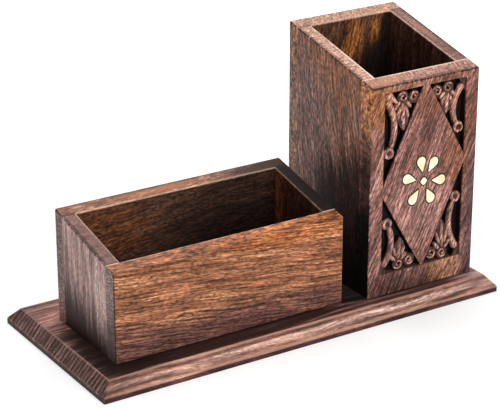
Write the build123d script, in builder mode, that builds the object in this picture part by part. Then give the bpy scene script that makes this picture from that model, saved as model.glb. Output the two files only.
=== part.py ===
from build123d import *
import os
from dataclasses import dataclass
from math import atan2, degrees, radians, sqrt, tan

# Desk organizer in oiled sheesham: a bevelled base board carries an open tray and a tall pen cup.
# Both boxes stand straight on the board, which is also their floor, and their rims slope to the front.
# Millimetres. The origin is the centre of the base board's underside, +X runs along the board
# towards the cup, +Y from the carved front to the back, and +Z up.

os.makedirs("parts", exist_ok=True)

# ---- driving dimensions: base board ----
base_thickness = 7.8
base_edge = 2.4  # upright part of the board's edge, under the bevel
bevel_inset = 4.8
arris = 0.4  # sanded-off edge on every board

# ---- driving dimensions: where the boxes stand ----
margin_left = 13.8
margin_right = 7.3
box_gap = 10.9
tray_margin_front = 15.2
cup_margin_front = 11.0
cup_margin_back = 14.6

# ---- driving dimensions: boxes ----
rim_slope = 12.2  # degrees, down towards the front
tray_length = 113.4
tray_depth = 51.2
tray_wall = 6.7
tray_front_height = 40.6
cup_width = 57.6
cup_depth = 64.4
cup_wall = 7.0
panel_thickness = 8.4
cup_front_height = 97.7
corner_round = 0.8

# ---- driving dimensions: hidden bamboo pins in the corner joints ----
pin_radius = 1.5
pin_gap = 0.02
pin_end_gap = 0.4
pin_end_depth = 7.0  # into the end grain of the side board
pin_skin = 2.7  # wood left in front of a pin
tray_pins_per_corner = 2
cup_pins_per_corner = 3

# ---- driving dimensions: countersunk screws up through the base board ----
screw_radius = 1.45
screw_head_radius = 2.8
screw_length = 16.0
screw_tip = 2.5
screw_sink = 0.3
screw_gap = 0.05
countersink_angle = 90
drive_width = 0.8
drive_length = 3.0
drive_depth = 1.0
tray_screw_margin = 22.0
cup_screw_margin = 18.0

# ---- driving dimensions: carved front panel ----
stile = 6.8
top_rail = 3.2  # below the panel's outer top edge
bottom_rail = 9.6
recess_depth = 3.6
side_land = 1.0  # how far the diamond's side points run into the stiles
top_land = 3.0
bottom_land = 1.2
diamond_left_height = 48.5
diamond_right_height = 57.0
diamond_shift = 0.6  # the lower point stands off the middle
carving_arris = 0.25

# ---- driving dimensions: carved scrolls in the four corners ----
scroll_drop = 0.9  # the scrolls' tops lie under the panel's face
root_across = 4.0
root_along = 7.0
stem_width = 2.4
stem_root = (1.2, 3.4)
stem_bow = 6.2
stem_bow_share = 0.36
bud_radius = 2.6
bud_across = 3.3
bud_share = 0.61
curl_radius = 2.9
inner_curl = (9.8, 3.4)
outer_curl = (15.8, 4.2)
leaf_root = (9.8, 5.0)
leaf_tip_across = 10.7
leaf_tip_share = 0.41
leaf_bow = 3.0
eye_radius = 1.0
eye_depth = 0.9

# ---- driving dimensions: brass inlay ----
inlay_thickness = 1.2
inlay_proud = 0.1
inlay_gap = 0.35
flower_height = 50.1
petal_angles = {
    "right": -7, "upper_right": 57, "upper_left": 100, "left": 163, "lower_left": 233, "lower_right": 295,
}
petal_start = 4.5
petal_end = 12.0
petal_radius = 2.35
petal_tip_radius = 0.25
centre_half_diagonal = 2.2

# ---- worked out from the above ----
base_length = margin_left + tray_length + box_gap + cup_width + margin_right
base_depth = cup_margin_front + cup_depth + cup_margin_back
bevel_rise = base_thickness - base_edge
bevel_angle = degrees(atan2(bevel_inset, bevel_rise))
rise_per_mm = tan(radians(rim_slope))


@dataclass
class OpenBox:
    """Four plumb boards round an open space: front and back run full width, the sides stand between."""

    left: float
    front: float
    width: float
    depth: float
    side_wall: float
    front_wall: float
    back_wall: float
    front_height: float
    pins_per_corner: int
    screw_margin: float

    @property
    def right(self):
        return self.left + self.width

    @property
    def back(self):
        return self.front + self.depth

    @property
    def back_height(self):
        return self.front_height + self.depth * rise_per_mm

    @property
    def front_joint(self):
        return self.front + self.front_wall

    @property
    def back_joint(self):
        return self.back - self.back_wall

    def pin_places(self):
        """Each pin: its x, its joint's y, its height, its depth in the long board, and which way is in."""
        columns = (self.left + self.side_wall / 2, self.right - self.side_wall / 2)
        joints = (
            (self.front_joint, self.front_height, self.front_wall - pin_skin, 1),
            (self.back_joint, self.back_height, self.back_wall - pin_skin, -1),
        )
        step_shares = [(k + 0.5) / self.pins_per_corner for k in range(self.pins_per_corner)]
        return [
            (x, y, base_thickness + share * height, face_depth, inward)
            for x in columns
            for y, height, face_depth, inward in joints
            for share in step_shares
        ]

    def screw_places(self):
        """Two screws under the front board and two under the back board."""
        columns = (self.left + self.screw_margin, self.right - self.screw_margin)
        rows = (self.front + self.front_wall / 2, self.back - self.back_wall / 2)
        return [(x, y, 0) for x in columns for y in rows]


tray = OpenBox(
    left=margin_left - base_length / 2,
    front=tray_margin_front - base_depth / 2,
    width=tray_length,
    depth=tray_depth,
    side_wall=tray_wall,
    front_wall=tray_wall,
    back_wall=tray_wall,
    front_height=tray_front_height,
    pins_per_corner=tray_pins_per_corner,
    screw_margin=tray_screw_margin,
)
cup = OpenBox(
    left=tray.right + box_gap,
    front=cup_margin_front - base_depth / 2,
    width=cup_width,
    depth=cup_depth,
    side_wall=cup_wall,
    front_wall=panel_thickness,
    back_wall=cup_wall,
    front_height=cup_front_height,
    pins_per_corner=cup_pins_per_corner,
    screw_margin=cup_screw_margin,
)


# ---- shared shapes ----
def box_form(box):
    """The whole box with its sloped rim and sanded edges, before it is parted into its boards."""
    side_view = Plane(origin=(box.left, 0, base_thickness), x_dir=(0, 1, 0), z_dir=(1, 0, 0))
    with BuildPart() as form:
        with BuildSketch(side_view):
            with BuildLine():
                Polyline(
                    (box.front, 0),
                    (box.back, 0),
                    (box.back, box.back_height),
                    (box.front, box.front_height),
                    close=True,
                )
            make_face()
        extrude(amount=box.width)
        fillet(form.edges().filter_by(Axis.Z), radius=corner_round)
        with BuildSketch(Plane.XY.offset(base_thickness)):
            with Locations(((box.left + box.right) / 2, (box.front_joint + box.back_joint) / 2)):
                Rectangle(box.width - 2 * box.side_wall, box.back_joint - box.front_joint)
        extrude(amount=box.back_height, mode=Mode.SUBTRACT)
        rim = form.faces().sort_by(Axis.Z)[-1]
        chamfer(rim.edges(), length=arris)
    return form.part


def keep_within(low_x, high_x, low_y, high_y, height):
    """Keep only what stands over this rectangle of the base board."""
    with Locations(((low_x + high_x) / 2, (low_y + high_y) / 2, base_thickness + height / 2)):
        Box(high_x - low_x, high_y - low_y, height, mode=Mode.INTERSECT)


def pin_rods(box, radius_gap=0.0, end_gap=0.0, mode=Mode.ADD):
    """Round pins across the corner joints, or their bores when gaps are given."""
    for x, joint_y, z, face_depth, inward in box.pin_places():
        middle = joint_y + inward * (pin_end_depth - face_depth) / 2
        with Locations(Location((x, middle, z), (90, 0, 0))):
            Cylinder(pin_radius + radius_gap, face_depth + pin_end_depth + 2 * end_gap, mode=mode)


def pilot_bores(box):
    """Holes that take the screws' shanks in the boards above the base."""
    with Locations(*box.screw_places()):
        Cylinder(
            screw_radius + screw_gap,
            screw_sink + screw_length + pin_end_gap,
            align=(Align.CENTER, Align.CENTER, Align.MIN),
            mode=Mode.SUBTRACT,
        )


def finish_board(box):
    """The bores that every board of a box may carry."""
    pin_rods(box, pin_gap, pin_end_gap, Mode.SUBTRACT)
    pilot_bores(box)


# ---- base board ----
with BuildPart() as base_board:
    with BuildSketch():
        Rectangle(base_length, base_depth)
    extrude(amount=base_edge)
    with BuildSketch(Plane.XY.offset(base_edge)):
        Rectangle(base_length, base_depth)
    extrude(amount=bevel_rise, taper=bevel_angle)
    underside = base_board.faces().sort_by(Axis.Z)[0]
    chamfer(base_board.edges() - underside.edges(), length=arris)
    screw_heads = [Plane(origin=place, z_dir=(0, 0, -1)) for place in tray.screw_places() + cup.screw_places()]
    with Locations(*screw_heads):
        CounterSinkHole(
            radius=screw_radius + screw_gap,
            counter_sink_radius=screw_head_radius + screw_sink,
            depth=base_thickness,
            counter_sink_angle=countersink_angle,
        )
base_board.part.label = "base_board"
export_step(base_board.part, "parts/base_board.step")

# ---- tray ----
tray_form = box_form(tray)

with BuildPart() as tray_front_board:
    add(tray_form)
    keep_within(tray.left, tray.right, tray.front, tray.front_joint, tray.back_height)
    finish_board(tray)
tray_front_board.part.label = "tray_front_board"
export_step(tray_front_board.part, "parts/tray_front_board.step")

with BuildPart() as tray_back_board:
    add(tray_form)
    keep_within(tray.left, tray.right, tray.back_joint, tray.back, tray.back_height)
    finish_board(tray)
tray_back_board.part.label = "tray_back_board"
export_step(tray_back_board.part, "parts/tray_back_board.step")

with BuildPart() as tray_left_end:
    add(tray_form)
    keep_within(
        tray.left, tray.left + tray.side_wall, tray.front_joint, tray.back_joint, tray.back_height
    )
    finish_board(tray)
tray_left_end.part.label = "tray_left_end"
export_step(tray_left_end.part, "parts/tray_left_end.step")

with BuildPart() as tray_right_end:
    add(tray_form)
    keep_within(
        tray.right - tray.side_wall, tray.right, tray.front_joint, tray.back_joint, tray.back_height
    )
    finish_board(tray)
tray_right_end.part.label = "tray_right_end"
export_step(tray_right_end.part, "parts/tray_right_end.step")

# ---- carved front panel of the cup ----
# The panel's face plane: x to the right and y up, from its lower left corner, outwards to the front.
panel_face = Plane(origin=(cup.left, cup.front, base_thickness), x_dir=(1, 0, 0), z_dir=(0, -1, 0))
opening_left = stile
opening_right = cup_width - stile
opening_bottom = bottom_rail
opening_top = cup_front_height - top_rail
middle = (opening_left + opening_right) / 2
diamond = (
    (opening_left - side_land, diamond_left_height),
    (middle, opening_top + top_land),
    (opening_right + side_land, diamond_right_height),
    (middle + diamond_shift, opening_bottom - bottom_land),
)
panel_corners = [
    (opening_left, 1, opening_bottom, 1, diamond_left_height - opening_bottom),
    (opening_right, -1, opening_bottom, 1, diamond_right_height - opening_bottom),
    (opening_left, 1, opening_top, -1, opening_top - diamond_left_height),
    (opening_right, -1, opening_top, -1, opening_top - diamond_right_height),
]


def corner_point(corner, across, along):
    """A point of the panel, counted from one corner of the carved opening towards its middle."""
    corner_x, way_x, corner_y, way_y, _ = corner
    return (corner_x + way_x * across, corner_y + way_y * along)


def scroll_outline(corner):
    """A leaf, two curls and a stem with its bud, growing out of one corner of the opening."""
    leg = corner[-1]
    bud = corner_point(corner, bud_across, bud_share * leg)
    leaf_middle = (leaf_root[1] + leaf_tip_share * leg) / 2
    leaf_ends = (corner_point(corner, *leaf_root), corner_point(corner, leaf_tip_across, leaf_tip_share * leg))
    with BuildSketch() as scroll:
        with BuildLine():
            Polyline(
                corner_point(corner, 0, 0),
                corner_point(corner, root_across, 0),
                corner_point(corner, 0, root_along),
                close=True,
            )
        make_face()
        stem = ThreePointArc(
            corner_point(corner, *stem_root),
            corner_point(corner, stem_bow, stem_bow_share * leg),
            bud,
        )
        SlotArc(stem, stem_width)
        with BuildLine():
            for side in (-1, 1):
                bow = (leaf_root[0] + leaf_tip_across) / 2 + side * leaf_bow
                ThreePointArc(leaf_ends[0], corner_point(corner, bow, leaf_middle), leaf_ends[1])
        make_face()
        with Locations(bud):
            Circle(bud_radius)
        with Locations(corner_point(corner, *inner_curl), corner_point(corner, *outer_curl)):
            Circle(curl_radius)
    return scroll.sketch


def petal_outline(angle, grow=0.0):
    """One drop-shaped petal at its angle round the flower, or its pocket when it is grown."""
    reach = petal_end - petal_radius
    with BuildSketch() as petal:
        with BuildLine():
            CenterArc((reach, 0), petal_radius + grow, 0, 360)
            CenterArc((petal_start + petal_tip_radius, 0), petal_tip_radius + grow, 0, 360)
        make_hull()
    return petal.sketch.rotate(Axis.Z, angle)


def centre_outline(grow=0.0):
    """The small square set on its point in the middle of the flower."""
    side = sqrt(2) * centre_half_diagonal + 2 * grow
    with BuildSketch() as centre:
        Rectangle(side, side, rotation=45)
    return centre.sketch


flower_face = Plane(
    origin=panel_face.from_local_coords((middle, flower_height, 0)),
    x_dir=panel_face.x_dir,
    z_dir=panel_face.z_dir,
)
scroll_floor = panel_face.offset(-recess_depth)
pocket_depth = inlay_thickness - inlay_proud
cup_form = box_form(cup)

with BuildPart() as cup_front_panel:
    add(cup_form)
    keep_within(cup.left, cup.right, cup.front, cup.front_joint, cup.back_height)
    with BuildSketch(panel_face):
        with Locations((middle, (opening_bottom + opening_top) / 2)):
            Rectangle(opening_right - opening_left, opening_top - opening_bottom)
        with BuildLine():
            Polyline(*diamond, close=True)
        make_face(mode=Mode.SUBTRACT)
    extrude(amount=-recess_depth, mode=Mode.SUBTRACT)
    face_with_openings = cup_front_panel.faces().filter_by(Axis.Y).sort_by(Axis.Y)[0]
    chamfer(face_with_openings.inner_wires().edges(), length=carving_arris)
    for panel_corner in panel_corners:
        with BuildSketch(scroll_floor):
            add(scroll_outline(panel_corner))
        extrude(amount=recess_depth - scroll_drop)
        with BuildSketch(panel_face.offset(-scroll_drop)):
            with Locations(
                corner_point(panel_corner, bud_across, bud_share * panel_corner[-1]),
                corner_point(panel_corner, *inner_curl),
                corner_point(panel_corner, *outer_curl),
            ):
                Circle(eye_radius)
        extrude(amount=-eye_depth, mode=Mode.SUBTRACT)
    for petal_angle in petal_angles.values():
        with BuildSketch(flower_face):
            add(petal_outline(petal_angle, inlay_gap))
        extrude(amount=-pocket_depth, mode=Mode.SUBTRACT)
    with BuildSketch(flower_face):
        add(centre_outline(inlay_gap))
    extrude(amount=-pocket_depth, mode=Mode.SUBTRACT)
    finish_board(cup)
cup_front_panel.part.label = "cup_front_panel"
export_step(cup_front_panel.part, "parts/cup_front_panel.step")

# ---- the cup's other boards ----
with BuildPart() as cup_back_board:
    add(cup_form)
    keep_within(cup.left, cup.right, cup.back_joint, cup.back, cup.back_height)
    finish_board(cup)
cup_back_board.part.label = "cup_back_board"
export_step(cup_back_board.part, "parts/cup_back_board.step")

with BuildPart() as cup_left_side:
    add(cup_form)
    keep_within(cup.left, cup.left + cup.side_wall, cup.front_joint, cup.back_joint, cup.back_height)
    finish_board(cup)
cup_left_side.part.label = "cup_left_side"
export_step(cup_left_side.part, "parts/cup_left_side.step")

with BuildPart() as cup_right_side:
    add(cup_form)
    keep_within(cup.right - cup.side_wall, cup.right, cup.front_joint, cup.back_joint, cup.back_height)
    finish_board(cup)
cup_right_side.part.label = "cup_right_side"
export_step(cup_right_side.part, "parts/cup_right_side.step")

# ---- brass inlay ----
pocket_floor = flower_face.offset(-pocket_depth)

for petal_name, petal_angle in petal_angles.items():
    with BuildPart() as inlay_petal:
        with BuildSketch(pocket_floor):
            add(petal_outline(petal_angle))
        extrude(amount=inlay_thickness)
    inlay_petal.part.label = f"inlay_petal_{petal_name}"
    export_step(inlay_petal.part, f"parts/inlay_petal_{petal_name}.step")

with BuildPart() as inlay_centre:
    with BuildSketch(pocket_floor):
        add(centre_outline())
    extrude(amount=inlay_thickness)
inlay_centre.part.label = "inlay_centre"
export_step(inlay_centre.part, "parts/inlay_centre.step")

# ---- pins and screws ----
with BuildPart() as tray_pins:
    pin_rods(tray)
tray_pins.part.label = "tray_pins"
export_step(tray_pins.part, "parts/tray_pins.step")

with BuildPart() as cup_pins:
    pin_rods(cup)
cup_pins.part.label = "cup_pins"
export_step(cup_pins.part, "parts/cup_pins.step")

with BuildPart() as wood_screw:
    with BuildSketch(Plane.XZ):
        with BuildLine():
            Polyline(
                (0, screw_sink),
                (screw_head_radius, screw_sink),
                (screw_radius, screw_sink + screw_head_radius - screw_radius),
                (screw_radius, screw_sink + screw_length - screw_tip),
                (0, screw_sink + screw_length),
                close=True,
            )
        make_face()
    revolve(axis=Axis.Z)
    with BuildSketch(Plane.XY.offset(screw_sink)):
        Rectangle(drive_length, drive_width)
        Rectangle(drive_width, drive_length)
    extrude(amount=drive_depth, mode=Mode.SUBTRACT)

with BuildPart() as tray_screws:
    with Locations(*tray.screw_places()):
        add(wood_screw.part)
tray_screws.part.label = "tray_screws"
export_step(tray_screws.part, "parts/tray_screws.step")

with BuildPart() as cup_screws:
    with Locations(*cup.screw_places()):
        add(wood_screw.part)
cup_screws.part.label = "cup_screws"
export_step(cup_screws.part, "parts/cup_screws.step")

print(f"base {base_length:.1f} x {base_depth:.1f}, overall height {base_thickness + cup.back_height:.1f}")
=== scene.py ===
# %% [markdown]
# # A sheesham desk organizer
# A bevelled base board carries an open tray and a tall pen cup. The construction comes in as a
# fixed frame of boards. This lesson gives each board the finish of oiled sheesham (Indian
# rosewood), rounds the carved scrolls on the cup's front, and sets up a plain studio.

# %% Load the frame
import math

import bpy
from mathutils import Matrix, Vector


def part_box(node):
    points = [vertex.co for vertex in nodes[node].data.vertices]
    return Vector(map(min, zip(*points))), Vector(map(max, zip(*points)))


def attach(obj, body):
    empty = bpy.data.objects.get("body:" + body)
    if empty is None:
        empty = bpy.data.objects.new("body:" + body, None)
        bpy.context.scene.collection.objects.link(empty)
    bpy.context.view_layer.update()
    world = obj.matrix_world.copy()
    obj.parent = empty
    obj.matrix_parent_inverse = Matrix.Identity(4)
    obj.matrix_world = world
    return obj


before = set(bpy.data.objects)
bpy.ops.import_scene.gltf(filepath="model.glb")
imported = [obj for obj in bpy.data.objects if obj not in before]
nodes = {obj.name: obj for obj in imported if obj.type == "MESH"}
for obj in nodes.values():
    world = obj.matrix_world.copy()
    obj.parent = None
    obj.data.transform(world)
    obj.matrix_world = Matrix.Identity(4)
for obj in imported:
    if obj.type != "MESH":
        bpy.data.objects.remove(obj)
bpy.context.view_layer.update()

MM = 0.001
print("boards and fittings:", len(nodes))

# %% [markdown]
# ## Camera
# The organizer was photographed with a long lens from its left front, a little above. The camera is
# placed by its angle round the object and its distance from the point that it looks at.

# %% Camera
IMAGE_WIDTH = 500
FOCAL_PIXELS = 1913.0
SENSOR_MM = 36.0
CAMERA_AZIMUTH = math.radians(-32.39)
CAMERA_ELEVATION = math.radians(22.41)
CAMERA_DISTANCE = 0.8879
CAMERA_AIM = Vector((0.0221, 0.0402, 0.0300))

camera = bpy.data.objects.new("camera", bpy.data.cameras.new("camera"))
bpy.context.scene.collection.objects.link(camera)
bpy.context.scene.camera = camera
camera_back = Vector((
    math.sin(CAMERA_AZIMUTH) * math.cos(CAMERA_ELEVATION),
    -math.cos(CAMERA_AZIMUTH) * math.cos(CAMERA_ELEVATION),
    math.sin(CAMERA_ELEVATION),
))
camera.location = CAMERA_AIM + camera_back * CAMERA_DISTANCE
camera.rotation_mode = "QUATERNION"
camera.rotation_quaternion = (-camera_back).to_track_quat("-Z", "Y")
camera.data.sensor_width = SENSOR_MM
camera.data.lens = FOCAL_PIXELS / IMAGE_WIDTH * SENSOR_MM
print("lens, mm:", round(camera.data.lens, 1))

# %% [markdown]
# ## Node and colour helpers
# Every finish below is a small network of nodes. One function adds a node with its settings and its
# links, and one turns a screen colour, as read off a real board, into the linear value that a
# shader works with.

# %% Helpers
def add_node(tree, kind, sockets=None, give=0, **settings):
    """A shader node with its settings and links: one of its outputs, or itself for give=None."""
    made = tree.nodes.new("ShaderNode" + kind)
    for key, value in settings.items():
        setattr(made, key, value)
    for key, value in (sockets or {}).items():
        if isinstance(value, bpy.types.NodeSocket):
            tree.links.new(value, made.inputs[key])
        else:
            made.inputs[key].default_value = value
    return made if give is None else made.outputs[give]


def linear(hex_colour):
    """A screen colour such as 8a5b4c as linear red, green, blue and full alpha."""
    channels = [int(hex_colour[k:k + 2], 16) / 255 for k in (0, 2, 4)]
    return [c / 12.92 if c <= 0.04045 else ((c + 0.055) / 1.055) ** 2.4 for c in channels] + [1.0]


def new_material(name):
    """A material with its output and its main shader, and nothing else."""
    material = bpy.data.materials.new(name)
    material.use_nodes = True
    tree = material.node_tree
    tree.nodes.clear()
    shader = add_node(tree, "BsdfPrincipled", give=None)
    add_node(tree, "OutputMaterial", {"Surface": shader.outputs["BSDF"]}, give=None)
    return material, tree, shader


# %% [markdown]
# ## Floor and light
# A white sweep under soft light. The lamps stay at a plain level, so a colour renders about as it is
# written. The floor glows for the camera and for reflections alone, less near the object. That makes
# the background white without any more light on the wood, and the contact shadow still shows.

# %% Floor and light
FLOOR_SIZE = 6.0
FLOOR_DIFFUSE = "c8c8c8"
FLOOR_GLOW, FAR_FLOOR_GLOW = 0.42, 0.80
NEAR_FLOOR, FAR_FLOOR = 0.12, 0.45  # metres from the object's middle
WORLD_LEVEL = 0.30

bpy.ops.mesh.primitive_plane_add(size=FLOOR_SIZE)
floor = bpy.context.object
floor.name = "floor"
floor_material, tree, shader = new_material("white_sweep")
shader.inputs["Base Color"].default_value = linear(FLOOR_DIFFUSE)
shader.inputs["Roughness"].default_value = 1.0
shader.inputs["Specular IOR Level"].default_value = 0.0
path = add_node(tree, "LightPath", give=None).outputs
seen = add_node(
    tree, "Math", {0: path["Is Camera Ray"], 1: path["Is Glossy Ray"]}, operation="MAXIMUM",
)
seen = add_node(tree, "Math", {0: seen, 1: path["Is Transmission Ray"]}, operation="MAXIMUM")
spot = add_node(tree, "TexCoord", give="Object")
away = add_node(tree, "VectorMath", {0: spot}, give="Value", operation="LENGTH")
reach = add_node(
    tree, "MapRange",
    {"Value": away, "From Min": NEAR_FLOOR, "From Max": FAR_FLOOR, "To Min": FLOOR_GLOW,
     "To Max": FAR_FLOOR_GLOW},
)
glow = add_node(tree, "Math", {0: seen, 1: reach}, operation="MULTIPLY")
shader.inputs["Emission Color"].default_value = linear("ffffff")
tree.links.new(glow, shader.inputs["Emission Strength"])
floor.data.materials.append(floor_material)

world = bpy.data.worlds.new("studio")
bpy.context.scene.world = world
world.use_nodes = True
tree = world.node_tree
tree.nodes.clear()
path = add_node(tree, "LightPath", give=None).outputs
seen = add_node(
    tree, "Math", {0: path["Is Camera Ray"], 1: path["Is Transmission Ray"]}, operation="MAXIMUM",
)
level = add_node(
    tree, "Math", {0: seen, 1: 1.0 - WORLD_LEVEL, 2: WORLD_LEVEL}, operation="MULTIPLY_ADD",
)
sky = add_node(tree, "Background", {"Color": linear("ffffff"), "Strength": level})
add_node(tree, "OutputWorld", {"Surface": sky}, give=None)

LIGHT_AIM = Vector((0.0, 0.0, 0.05))


def soft_box(name, place, size, watts):
    """A square soft box that looks at the object."""
    lamp = bpy.data.lights.new(name, "AREA")
    lamp.size = size
    lamp.energy = watts
    holder = bpy.data.objects.new(name, lamp)
    bpy.context.scene.collection.objects.link(holder)
    holder.location = place
    holder.rotation_mode = "QUATERNION"
    holder.rotation_quaternion = (LIGHT_AIM - Vector(place)).to_track_quat("-Z", "Y")


soft_box("top", (0.15, 0.25, 0.9), 0.9, 9.0)
soft_box("front", (0.0, -0.9, 0.5), 0.6, 6.0)
bpy.context.scene.view_settings.view_transform = "Standard"
print("soft boxes:", len(bpy.data.lights))

# %% [markdown]
# ## Oiled sheesham
# Sheesham is a dark, open-pored hardwood: mauve-brown heartwood with near-black streaks, flecks of
# pore along the grain, and patches of orange and straw sapwood. The boards are sawn, sanded and
# oiled, so the surface is satin, the pores stay open, and saw marks are left on the end grain of the
# base. Each rim is rubbed pale along its inner edge, and painted paler there as a highlight, and it
# stays dark with oil along its outer one.
#
# A photograph of wood could be laid on each face, but it would stop at the edges. Noises in the
# board's own solid run through every face and cut, so one recipe makes every board: a slow figure
# with growth lines that follow it, darker veins, finer fibres, pores and a sparkle of cut fibre ends,
# all stretched along the board's own grain. Stains for heartwood, sapwood and handling lie in it and
# over it, and so do painted shade, in the boxes, the cuts and the gaps, and painted highlights along
# some edges. Sizes are real millimetres, except that fibres, pores and saw marks are drawn two to
# three times as coarse as real ones, so that they show.

# %% Sizes in the wood
FIGURE_MM, FIGURE_STRETCH = 5.0, 12.0
VEIN_MM, VEIN_STRETCH = 1.7, 22.0
FIBRE_MM, FIBRE_STRETCH = 0.8, 13.0
PORE_MM, PORE_STRETCH = 0.7, 5.0
SPARKLE_MM, SPARKLE_STRETCH = 0.7, 3.0
SWAY_MM, SWAY_REACH = 45.0, 5.0  # how far the grain wanders from straight
RING_STEP = 0.05  # growth lines follow the figure at every step of this size
RING_SHARE = 0.4  # and take up this much of a step
SAW_MARK_MM = 2.6  # from one saw mark to the next across the grain
WAVE_PERIOD = math.tau / 20  # the wave texture's own period at scale 1
RELIEF_MM, RELIEF_STRENGTH = 0.15, 0.7
ARRIS_MM, CORNER_MM = 0.6, 0.35
EDGE_FRAY = 1.6  # how far, in mm, a worn edge frays
RIM_SLOPE = math.tan(math.radians(12.2))

# %% Colours and levels in the wood
PORE_COLOUR = "1d0e09"
VEIN_COLOUR = "2a1712"
# The pale inner edges are partly wear and partly a painted highlight.
ARRIS_WEAR_AND_HIGHLIGHT = "f2d2b8"  # the rim's inner edges are rubbed pale
OUTER_COLOUR = "1c0e09"  # and its outer ones stay dark with oil
CORNER_COLOUR = "341f18"  # oil gathers along the upright corners
OIL_IOR = 1.47
OIL_SHEEN = 0.25
SATIN_LOW, SATIN_HIGH = 0.4, 0.65
# Nearly all of a noise lies between these two levels.
NOISE_LOW, NOISE_HIGH = 0.3, 0.7
# The noise levels at which the figure is darkest and palest, and veins and pores begin and end.
FIGURE_DARK, FIGURE_PALE = 0.36, 0.64
VEIN_EDGE, VEIN_CORE = 0.43, 0.30
PORE_EDGE, PORE_CORE = 0.58, 0.70
# How much darker and brighter fibres and sparkle make the wood at contrast 1.
DARKER, FIBRE_BRIGHTER, SPARKLE_BRIGHTER = 0.45, 0.55, 0.6
# A face looks a given way when the cosine of the angle between them passes from one to the other.
NOT_FACING, FACING = 0.94, 0.97


# %% Stains
def facing_share(tree, normal, way, share=1.0):
    """A share on the faces that look one way, and nothing on the others."""
    faced = add_node(
        tree, "VectorMath", {0: normal, 1: tuple(Vector(way).normalized())}, give="Value",
        operation="DOT_PRODUCT",
    )
    return add_node(
        tree, "MapRange",
        {"Value": faced, "From Min": NOT_FACING, "From Max": FACING, "To Max": share},
    )


def patch_distance(tree, in_mm, stain_or_light):
    """How far a point lies from a patch's middle, as a share of the patch's reach."""
    offset = add_node(tree, "VectorMath", {0: in_mm, 1: stain_or_light["middle"]}, operation="SUBTRACT")
    shares = add_node(tree, "VectorMath", {0: offset, 1: stain_or_light["reach"]}, operation="DIVIDE")
    if not stain_or_light["square"]:
        return add_node(tree, "VectorMath", {0: shares}, give="Value", operation="LENGTH")
    sizes = add_node(tree, "VectorMath", {0: shares}, operation="ABSOLUTE")
    part = add_node(tree, "SeparateXYZ", {0: sizes}, give=None).outputs
    distance = add_node(tree, "Math", {0: part["X"], 1: part["Y"]}, operation="MAXIMUM")
    return add_node(tree, "Math", {0: distance, 1: part["Z"]}, operation="MAXIMUM")


def lay_stain_or_light(tree, in_mm, normal, colour, ragged, stain_or_light):
    """Stains, painted shade or painted highlights over the wood: in a patch, on the faces that look
    one way, or both.
    """
    mask = stain_or_light["strength"]
    if "middle" in stain_or_light:
        frayed = add_node(
            tree, "Math",
            {0: ragged, 1: stain_or_light["fray"], 2: patch_distance(tree, in_mm, stain_or_light)},
            operation="MULTIPLY_ADD",
        )
        mask = add_node(
            tree, "MapRange",
            {"Value": frayed, "From Min": 1 + stain_or_light["soft"], "From Max": 1 - stain_or_light["soft"],
             "To Max": mask},
            interpolation_type="SMOOTHSTEP",
        )
    if stain_or_light["facing"]:
        mask = facing_share(tree, normal, stain_or_light["facing"], mask)
    return add_node(
        tree, "Mix", {0: mask, 6: colour, 7: linear(stain_or_light["hex"])}, give=2, data_type="RGBA",
    )


# %% Worn edges and saw marks
def edge_distances(tree, in_mm, low, high):
    """In mm, how far a point of a board lies from its rim's edges and from its upright corners."""
    parts = add_node(tree, "SeparateXYZ", {0: in_mm}, give=None)
    level = add_node(
        tree, "Math", {0: parts.outputs["Y"], 1: -RIM_SLOPE, 2: parts.outputs["Z"]},
        operation="MULTIPLY_ADD",
    )
    levelled = add_node(
        tree, "CombineXYZ", {"X": parts.outputs["X"], "Y": parts.outputs["Y"], "Z": level},
    )
    from_low = add_node(tree, "VectorMath", {0: levelled, 1: low}, operation="SUBTRACT")
    from_high = add_node(tree, "VectorMath", {0: high, 1: levelled}, operation="SUBTRACT")
    nearest = add_node(tree, "VectorMath", {0: from_low, 1: from_high}, operation="MINIMUM")
    near = add_node(tree, "SeparateXYZ", {0: nearest}, give=None).outputs
    rim = add_node(tree, "SeparateXYZ", {0: from_high}, give="Z")
    side = add_node(tree, "Math", {0: near["X"], 1: near["Y"]}, operation="MINIMUM")
    rim_edge = add_node(tree, "Math", {0: side, 1: rim}, operation="MAXIMUM")
    corner = add_node(tree, "Math", {0: near["X"], 1: near["Y"]}, operation="MAXIMUM")
    return rim_edge, corner


def edge_line(tree, colour, sparkle, distance, width, share, hex_colour):
    """A frayed line along an edge, from a point's distance to it in mm."""
    frayed = add_node(
        tree, "Math", {0: sparkle, 1: EDGE_FRAY, 2: distance}, operation="MULTIPLY_ADD",
    )
    line = add_node(
        tree, "MapRange",
        {"Value": frayed, "From Min": width + 1.0, "From Max": width + 0.5, "To Max": share},
        interpolation_type="SMOOTHSTEP",
    )
    return add_node(
        tree, "Mix", {0: line, 6: colour, 7: linear(hex_colour)}, give=2, data_type="RGBA",
    )


def saw_marks(tree, in_mm, normal, sawn):
    """How strongly a point is marked by the saw, on the faces that look one way."""
    waves = add_node(
        tree, "TexWave",
        {"Vector": in_mm, "Scale": WAVE_PERIOD / SAW_MARK_MM, "Distortion": 2.5, "Detail": 2.0,
         "Detail Scale": 1.0},
        give=1, bands_direction="Y",
    )
    deep = add_node(
        tree, "MapRange", {"Value": waves, "From Min": 0.45, "From Max": 0.1, "To Max": 0.75},
    )
    on_face = facing_share(tree, normal, sawn)
    return add_node(tree, "Math", {0: deep, 1: on_face}, operation="MULTIPLY")


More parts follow.
